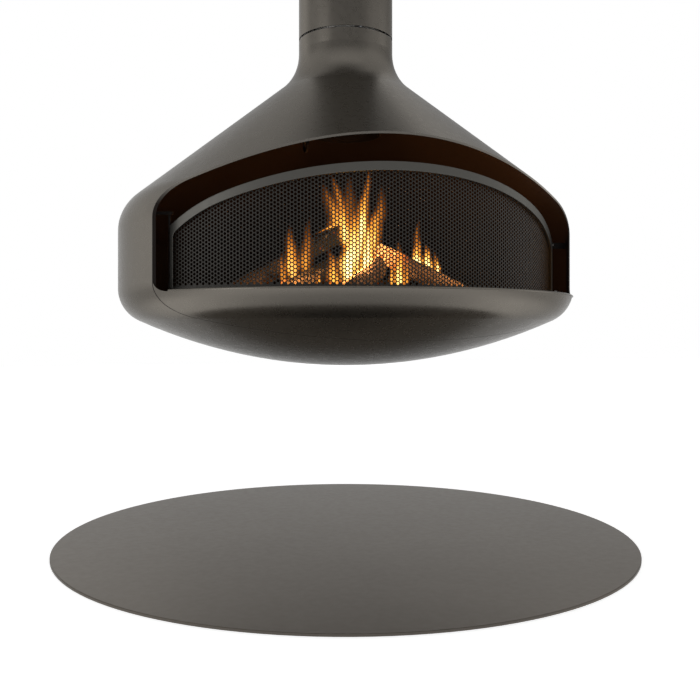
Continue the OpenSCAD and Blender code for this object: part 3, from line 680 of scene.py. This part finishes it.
def log_material():
    """Furrowed bark, pale wood where split or sawn, black char, and a glowing skin of embers."""
    m = Material("log_bark")
    char, bare, glow = attribute(m, "char"), attribute(m, "bare"), attribute(m, "glow")
    fine = m.noise(160, 6, 0.6)
    bark = m.ramp(m.noise(16, 5, 0.55), [(0.3, BARK_DARK), (0.5, BARK), (0.72, BARK_PALE)])
    bark = m.mix(m.spread(fine, 0.35, 0.6), shade(BARK_DARK, 0.5), bark)
    wood = m.ramp(m.noise(70, 5, 0.6), [(0.3, WOOD_DARK), (0.55, WOOD), (0.75, WOOD_PALE)])
    patches = m.times(m.math("SUBTRACT", m.noise(28, 5, 0.65), 0.5), 0.9)
    black = m.spread(m.math("ADD", char, patches), 0.45, 0.75)
    tone = m.mix(black, m.mix(bare, bark, wood), m.ramp(fine, [(0.4, CHAR_DARK), (0.75, CHAR_LIGHT)]))
    ash = m.times(m.spread(m.noise(46, 6, 0.7), 0.56, 0.66), black)
    tone = m.mix(m.times(ash, 0.4), tone, ASH_ON_CHAR)
    cells = m.add("ShaderNodeTexVoronoi", feature="DISTANCE_TO_EDGE", Scale=110.0)
    m.join(m.coords(), cells.inputs["Vector"])
    crack = m.rest(m.spread(cells.outputs["Distance"], 0.02, 0.12))
    heat = m.spread(m.math("ADD", glow, m.times(patches, 1.2)), 0.15, 0.9)
    heat = m.times(heat, m.math("ADD", 0.35, m.times(crack, 0.65)))
    m.drive(Base_Color=tone, Emission_Color=m.ramp(heat, LOG_HEAT), Emission_Strength=m.times(heat, LOG_GLOW))
    m.bump(m.math("ADD", fine, m.times(crack, m.times(black, -0.6))), 0.5, 0.0015)
    m.set(Roughness=0.9)
    m.mat.cycles.emission_sampling = "NONE"
    return m.mat


# ---- Fire: embers and ash ------------------------------------------------------------------

EMBER_SEED = 11
EMBER_COUNT = 90
EMBER_SPREAD = (0.155, 0.12)
EMBER_RADIUS = (0.008, 0.018)
EMBER_SHIFT = 0.02
HEAP_RADIUS = 0.16
LUMP_SHAPE = Vector((1.15, 0.95, 0.7))
EMBER_CRUST = [(0.35, (0.012, 0.010, 0.009)), (0.62, (0.05, 0.045, 0.04)), (0.75, (0.34, 0.32, 0.30))]
EMBER_HEAT = [(0.0, (0.8, 0.06, 0.005)), (0.5, (1.0, 0.26, 0.03)), (1.0, (1.0, 0.62, 0.2))]
EMBER_GLOW = 4.0

ASH_DARK, ASH_PALE = (0.16, 0.15, 0.145), (0.42, 0.40, 0.38)
ASH_LIFT = 0.0003
ASH_RINGS = 12
ASH_SIDES = 96


def lump(centre, radius, seed, verts, faces):
    """Adds one broken lump of charcoal."""
    ball = bmesh.new()
    bmesh.ops.create_icosphere(ball, subdivisions=2, radius=1)
    first = len(verts)
    for v in ball.verts:
        r = radius * (0.8 + 0.35 * noise.noise(v.co * 1.6 + Vector((seed, seed * 2.1, 0))))
        verts.append(centre + Vector(a * b for a, b in zip(v.co, LUMP_SHAPE)) * r)
    faces += [tuple(v.index + first for v in f.verts) for f in ball.faces]
    ball.free()


def ember_material():
    """Grey crust with glowing gaps."""
    m = Material("embers")
    crust = m.noise(85, 6, 0.7)
    hot = m.times(m.spread(crust, 0.42, 0.66), attribute(m, "glow"))
    m.drive(Base_Color=m.ramp(crust, EMBER_CRUST), Emission_Color=m.ramp(hot, EMBER_HEAT),
        Emission_Strength=m.times(hot, EMBER_GLOW))
    m.bump(crust, 0.5, 0.002)
    m.set(Roughness=0.95)
    m.mat.cycles.emission_sampling = "NONE"
    return m.mat


def make_embers():
    """A heap of charcoal on the grate, hottest in the middle."""
    rng = random.Random(EMBER_SEED)
    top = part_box("fire_grate")[1].z
    verts, faces, glow = [], [], []
    for i in range(EMBER_COUNT):
        x, y = (rng.gauss(0, reach * 0.55) for reach in EMBER_SPREAD)
        if abs(x) > EMBER_SPREAD[0] or abs(y) > EMBER_SPREAD[1]:
            continue
        radius = rng.uniform(*EMBER_RADIUS)
        centre = Vector((x + EMBER_SHIFT, y, top + radius * rng.uniform(0.5, 1.6)))
        lump(centre, radius, i * 3.7, verts, faces)
        heat = 1.15 - math.hypot(x, y) / HEAP_RADIUS
        glow += [max(0.05, min(1.0, heat + rng.uniform(-0.3, 0.3)))] * (len(verts) - len(glow))
    heap = new_object("ember_heap", verts, faces, ember_material())
    add_attribute(heap, "glow", glow)
    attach(heap, FIREPLACE)


def make_ash():
    """Ash lying on the hearth tiles and in the pan under the grate."""
    m = Material("ash")
    m.drive(Base_Color=m.ramp(m.noise(120, 6, 0.7), [(0.3, ASH_DARK), (0.7, ASH_PALE)]))
    m.bump(m.noise(260, 5, 0.7), 0.6, 0.001)
    m.set(Roughness=1.0)
    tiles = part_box("hearth_tiles")[1].z
    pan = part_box("ash_pan")
    # Each bed of ash: height of what it lies on, inner and outer radius, depth
    beds = (
        (tiles, 0.186, 0.42, 0.0035),
        (pan[0].z + 0.008, 0.0, pan[1].x - 0.022, 0.022),
    )
    verts, faces = [], []
    for base, inner, outer, depth in beds:
        first = len(verts)
        # A ring of ash thins out at both of its edges, and a round bed at the outer one
        lead = 0 if inner else ASH_RINGS
        for i in range(ASH_RINGS + 1):
            thickness = math.sin(math.pi * ((i + lead) / (ASH_RINGS + lead)))
            for k in range(ASH_SIDES):
                a = 2 * math.pi * k / ASH_SIDES
                r = inner + (outer - inner) * i / ASH_RINGS
                spot = Vector((r * math.cos(a), r * math.sin(a), 0))
                rise = depth * thickness * (0.7 + 0.5 * noise.noise(spot * 22))
                verts.append(Vector((spot.x, spot.y, base + ASH_LIFT + rise)))
        for i in range(ASH_RINGS):
            here, there = first + i * ASH_SIDES, first + (i + 1) * ASH_SIDES
            for k in range(ASH_SIDES):
                n = (k + 1) % ASH_SIDES
                faces.append((here + k, there + k, there + n, here + n))
    ash = new_object("ash", verts, faces, m.mat)
    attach(ash, FIREPLACE)


# ---- Fire: flames --------------------------------------------------------------------------

# Each tongue of flame, on a plane across the camera's view: how far behind the flue's axis it burns,
# its foot and its tip as (across, height), its half width at its widest, and its brightness.
FLAMES = (
    (-0.03, (0.004, 0.668), (0.034, 0.892), 0.050, 1.20),
    (-0.02, (0.046, 0.690), (0.074, 0.872), 0.038, 1.10),
    (0.01, (0.026, 0.735), (-0.040, 0.985), 0.036, 0.92),
    (-0.01, (0.032, 0.725), (0.058, 0.992), 0.036, 1.00),
    (0.05, (0.070, 0.750), (0.106, 0.960), 0.044, 0.55),
    (0.09, (-0.010, 0.790), (-0.064, 0.975), 0.052, 0.50),
    (0.07, (0.014, 0.780), (0.010, 0.990), 0.055, 0.42),
    (-0.02, (-0.140, 0.680), (-0.148, 0.840), 0.038, 0.66),
    (-0.03, (-0.137, 0.690), (-0.142, 0.795), 0.017, 0.60),
    (-0.01, (-0.108, 0.695), (-0.098, 0.860), 0.036, 0.38),
    (-0.03, (-0.165, 0.676), (-0.168, 0.770), 0.022, 0.34),
    (-0.06, (0.142, 0.654), (0.140, 0.790), 0.030, 0.80),
    (-0.06, (0.160, 0.660), (0.157, 0.758), 0.015, 0.60),
    (-0.06, (0.122, 0.664), (0.119, 0.748), 0.014, 0.50),
    (0.09, (0.202, 0.738), (0.202, 0.872), 0.020, 0.62),
    (0.09, (0.205, 0.726), (0.192, 0.800), 0.028, 1.25),
    (0.09, (0.233, 0.716), (0.222, 0.796), 0.025, 1.10),
    (0.09, (0.258, 0.706), (0.247, 0.776), 0.016, 0.90),
    (-0.10, (-0.066, 0.660), (-0.073, 0.718), 0.011, 0.65),
    (-0.06, (-0.026, 0.664), (-0.046, 0.775), 0.032, 0.55),
    (0.03, (-0.004, 0.848), (-0.088, 0.812), 0.007, 0.80),
)
BLADES = 2
BLADE_ROWS = 36
BLADE_COLUMNS = 10
BLADE_TURN = math.radians(38)
BLADE_TWIST = 0.3
SWAY = 0.16
FOOT_WIDTH = 0.35
SWELL = 2.6
TAPER = 0.6
RAGGED = 0.3

FLAME_STREAKS = (1, 1, 0.10)
FLAME_COLOURS = [(0.05, (0.42, 0.10, 0.012)), (0.25, (0.75, 0.22, 0.02)), (0.5, (1.0, 0.42, 0.05)),
    (0.95, (1.0, 0.74, 0.28))]
FLAME_LIGHT = (0.9, 3.4)


def flame_material():
    """Burning gas: nearly white in the core, orange outside, brown and thin at the edges and tips."""
    m = Material("flame")
    across, along, _ = m.xyz(m.coords("UV"))
    lick = m.noise(85, 3, 0.55, m.stretched(FLAME_STREAKS))
    inside = m.rest(m.math("ABSOLUTE", m.math("SUBTRACT", m.times(across, 2.0), 1.0)))
    body = m.times(m.spread(inside, 0.0, 0.8), m.spread(along, 1.0, 0.25))
    heat = m.times(body, m.math("ADD", 0.55, m.times(m.spread(lick, 0.32, 0.68), 0.75)))
    heat = m.times(heat, attribute(m, "power"))
    root = m.spread(along, 0.0, 0.16)
    m.drive(Emission_Color=m.ramp(heat, FLAME_COLOURS),
        Emission_Strength=m.spread(heat, 0.0, 1.1, *FLAME_LIGHT),
        Alpha=m.times(m.spread(heat, 0.02, 0.75, 0.0, 0.9), root))
    m.set(Base_Color=(0, 0, 0), Roughness=1.0, Specular_IOR_Level=0.0)
    m.mat.cycles.emission_sampling = "NONE"
    return m.mat


def make_flames():
    """Tongues of flame, each of two crossed and twisted blades."""
    material = flame_material()
    towards = Vector(CAMERA_SIDE)
    across_axis = Vector((-towards.y, towards.x, 0))

    def place(point, behind):
        return across_axis * point[0] - towards * behind + Vector((0, 0, point[1]))

    for number, (behind, foot, tip, half_width, power) in enumerate(FLAMES, 1):
        root, top = place(foot, behind), place(tip, behind)
        length = (top - root).length
        rise = (top - root).normalized()
        level = (across_axis - rise * across_axis.dot(rise)).normalized()
        verts, faces, uvs = [], [], []
        for blade in range(BLADES):
            first = len(verts)
            for i in range(BLADE_ROWS + 1):
                v = i / BLADE_ROWS
                drift = noise.noise(Vector((number * 3.1, v * 2.4, 0)))
                spine = root.lerp(top, v) + level * drift * SWAY * length * v * (1.2 - v)
                width = half_width * min(1.0, FOOT_WIDTH + SWELL * v) * (1 - v) ** TAPER
                turn = BLADE_TURN * (2 * blade - 1) + BLADE_TWIST * math.sin(3 * v + number)
                out = level * math.cos(turn) + rise.cross(level) * math.sin(turn)
                for j in range(BLADE_COLUMNS + 1):
                    u = 2 * j / BLADE_COLUMNS - 1
                    ragged = 1 + RAGGED * noise.noise(Vector((number + blade * 5, v * 6, u)))
                    verts.append(spine + out * u * width * ragged)
                    uvs.append(((u + 1) / 2, v))
            for i in range(BLADE_ROWS):
                for j in range(BLADE_COLUMNS):
                    a = first + i * (BLADE_COLUMNS + 1) + j
                    faces.append((a, a + 1, a + BLADE_COLUMNS + 2, a + BLADE_COLUMNS + 1))
        flame = new_object(f"flame_{number:02d}", verts, faces, material)
        layer = flame.data.uv_layers.new(name="UVMap")
        for loop in flame.data.loops:
            layer.data[loop.index].uv = uvs[loop.vertex_index]
        add_attribute(flame, "power", [power] * len(verts))
        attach(flame, FIREPLACE)


# Light of the fire: place, watts
FIRELIGHTS = {
    "firelight_core": ((-0.015, -0.12, 0.745), 3.2),
    "firelight_left": ((-0.165, -0.06, 0.745), 0.5),
    "firelight_right": ((0.300, -0.16, 0.745), 1.2),
    "firelight_top": ((0.04, -0.08, 0.90), 0.5),
    "firelight_front": ((0.06, -0.34, 0.70), 0.35),
}
FIRE_COLOUR = (1.0, 0.50, 0.17)
FIRELIGHT_RADIUS = 0.03


def make_fire_light():
    for name, (place, watts) in FIRELIGHTS.items():
        data = bpy.data.lights.new(name, "POINT")
        data.energy = watts
        data.color = FIRE_COLOUR
        data.shadow_soft_size = FIRELIGHT_RADIUS
        lamp = bpy.data.objects.new(name, data)
        lamp.location = place
        lamp.visible_glossy = False
        bpy.context.scene.collection.objects.link(lamp)


def make_fire():
    wood = log_material()
    split_left, split_right = ((math.radians(70), 0.62),), ((math.radians(120), 0.5),)
    make_log("burning_log_middle", "fire_log_middle", 1, wood, glow=0.7, glow_reach=0.3)
    make_log("burning_log_left", "fire_log_left", 2, wood, char=1.4)
    make_log("burning_log_right", "fire_log_right", 3, wood, char=0.8, glow=1.6, glow_reach=0.11)
    make_log("burning_log_front_left", "fire_log_front_left", 4, wood, split=split_left, char=0.85)
    make_log("burning_log_front_right", "fire_log_front_right", 5, wood, split=split_right, char=0.35)
    make_embers()
    make_ash()
    make_flames()
    make_fire_light()


# ---- Room: floor, light, background -------------------------------------------------------

# Level of what the camera sees of the floor. Then what the paint mirrors of it, before and behind
# the object and to its sides: near, far, and the distances between which one turns into the other.
FLOOR_SEEN = 0.72
FLOOR_NEAR = (0.20, 0.98)
FLOOR_FAR = (0.95, 0.28)
FLOOR_CHANGE = (1.4, 2.2)
FLOOR_GREY = (0.55, 0.55, 0.55)
FLOOR_HALF = 12.0
FLOOR_DROP = 0.001


def make_floor():
    """Pale floor that reads as white and keeps the object's shadow. The paint mirrors it bright to
    the left and right near the object, and bright before and behind the object farther out."""
    m = Material("pale_floor")
    m.set(Base_Color=FLOOR_GREY, Roughness=0.9)
    outward = m.add("ShaderNodeVectorMath", operation="NORMALIZE")
    m.join(m.coords(), outward.inputs[0])
    ahead = m.along(outward.outputs["Vector"], CAMERA_SIDE)
    side = m.math("POWER", m.rest(m.times(ahead, ahead)), 1.5)
    distance = m.add("ShaderNodeVectorMath", operation="LENGTH")
    m.join(m.coords(), distance.inputs[0])
    far = m.spread(distance.outputs["Value"], *FLOOR_CHANGE)
    near_level = m.spread(side, 0.0, 1.0, *FLOOR_NEAR)
    far_level = m.spread(side, 0.0, 1.0, *FLOOR_FAR)
    mirrored = m.math("ADD", m.times(near_level, m.rest(far)), m.times(far_level, far))
    path = m.add("ShaderNodeLightPath").outputs
    in_mirror = m.math("MAXIMUM", path["Is Glossy Ray"], path["Is Transmission Ray"])
    white = m.add("ShaderNodeEmission")
    m.join(m.math("MAXIMUM", m.times(path["Is Camera Ray"], FLOOR_SEEN), m.times(in_mirror, mirrored)),
        white.inputs["Strength"])
    both = m.add("ShaderNodeAddShader")
    m.join(m.shader.outputs[0], both.inputs[0])
    m.join(white.outputs[0], both.inputs[1])
    m.join(both.outputs[0], m.tree.nodes["Material Output"].inputs["Surface"])
    s = FLOOR_HALF
    corners = [(-s, -s, 0), (s, -s, 0), (s, s, 0), (-s, s, 0)]
    floor = new_object("floor", corners, [(0, 1, 2, 3)], m.mat, smooth=False)
    floor.location.z = -FLOOR_DROP


# Level of the studio's light by the sine of the elevation: in front, at the sides, behind, and on
# the panel at the left and behind
STUDIO_FRONT = [(0.0, 0.95), (0.08, 0.92), (0.16, 0.78), (0.28, 0.24), (0.37, 0.07), (0.50, 0.27),
    (0.62, 0.50), (0.78, 0.72), (0.92, 0.78), (1.0, 0.20)]
STUDIO_SIDE = [(0.0, 1.10), (0.15, 0.95), (0.28, 0.55), (0.42, 0.38), (0.58, 0.75), (0.72, 0.70),
    (0.92, 0.58), (1.0, 0.20)]
STUDIO_BACK = [(0.0, 0.9), (0.07, 0.95), (0.13, 1.35), (0.24, 0.75), (0.42, 0.62), (0.58, 1.0),
    (0.77, 1.5), (0.83, 0.20), (0.88, 0.02), (1.0, 0.10)]
STUDIO_LEFT = [(0.0, 1.15), (0.15, 1.15), (0.27, 1.20), (0.42, 1.12), (0.58, 0.95), (0.72, 0.80),
    (0.92, 0.58), (1.0, 0.20)]

# Cosines between which the light turns from the back to the sides, from the sides to the front, and
# into the left panel, whose own azimuth they are measured from
TURN_BACK = (-0.97, -0.55)
TURN_FRONT = (0.3, 0.85)
TURN_LEFT = (0.78, 0.98)
LEFT_PANEL_SIDE = level_direction(CAMERA_AZIMUTH - math.radians(135))


def make_world():
    """White studio seen by the camera. The paint mirrors soft panels on every side."""
    world = bpy.data.worlds.new("studio")
    world.use_nodes = True
    bpy.context.scene.world = world
    w = Nodes(world.node_tree)
    w.tree.nodes.clear()

    def level(stops):
        return w.ramp(up, [(place, (value, value, value)) for place, value in stops])

    def blend(cosine, turn, a, b):
        return w.mix(w.spread(cosine, *turn, curve="SMOOTHSTEP"), a, b)

    direction = w.coords("Generated")
    up = w.xyz(direction)[2]
    level_part = w.math("SQRT", w.math("SUBTRACT", 1.0001, w.times(up, up)))
    ahead = w.math("DIVIDE", w.along(direction, CAMERA_SIDE), level_part)
    leftward = w.math("DIVIDE", w.along(direction, LEFT_PANEL_SIDE), level_part)
    studio = blend(ahead, TURN_FRONT, level(STUDIO_SIDE), level(STUDIO_FRONT))
    studio = blend(ahead, TURN_BACK, level(STUDIO_BACK), studio)
    studio = blend(leftward, TURN_LEFT, studio, level(STUDIO_LEFT))

    path = w.add("ShaderNodeLightPath").outputs
    seen = w.math("MAXIMUM", path["Is Camera Ray"], path["Is Transmission Ray"])
    light = w.add("ShaderNodeBackground")
    w.join(w.mix(seen, studio, (1, 1, 1)), light.inputs["Color"])
    out = w.add("ShaderNodeOutputWorld")
    w.join(light.outputs[0], out.inputs["Surface"])
    bpy.context.scene.view_settings.view_transform = "Standard"


# Softboxes: place, size, watts. Each aims at the middle of the fireplace.
SOFTBOXES = {
    "left_softbox": ((-3.2, -1.2, 1.2), (1.4, 2.0), 13),
    "right_softbox": ((3.2, -0.6, 1.2), (1.2, 2.0), 6),
}
SOFTBOX_AIM = (0, 0, 0.8)


def make_lights():
    for name, (place, size, watts) in SOFTBOXES.items():
        data = bpy.data.lights.new(name, "AREA")
        data.shape = "RECTANGLE"
        data.size, data.size_y = size
        data.energy = watts
        lamp = bpy.data.objects.new(name, data)
        lamp.location = place
        lamp.rotation_mode = "QUATERNION"
        lamp.rotation_quaternion = (Vector(SOFTBOX_AIM) - Vector(place)).to_track_quat("-Z", "Y")
        bpy.context.scene.collection.objects.link(lamp)


finishes = dress_nodes()
make_camera()
make_world()
make_floor()
make_lights()
make_frame(finishes["screen_paint"])
make_sheet(finishes["sheet_paint"])
make_fire()
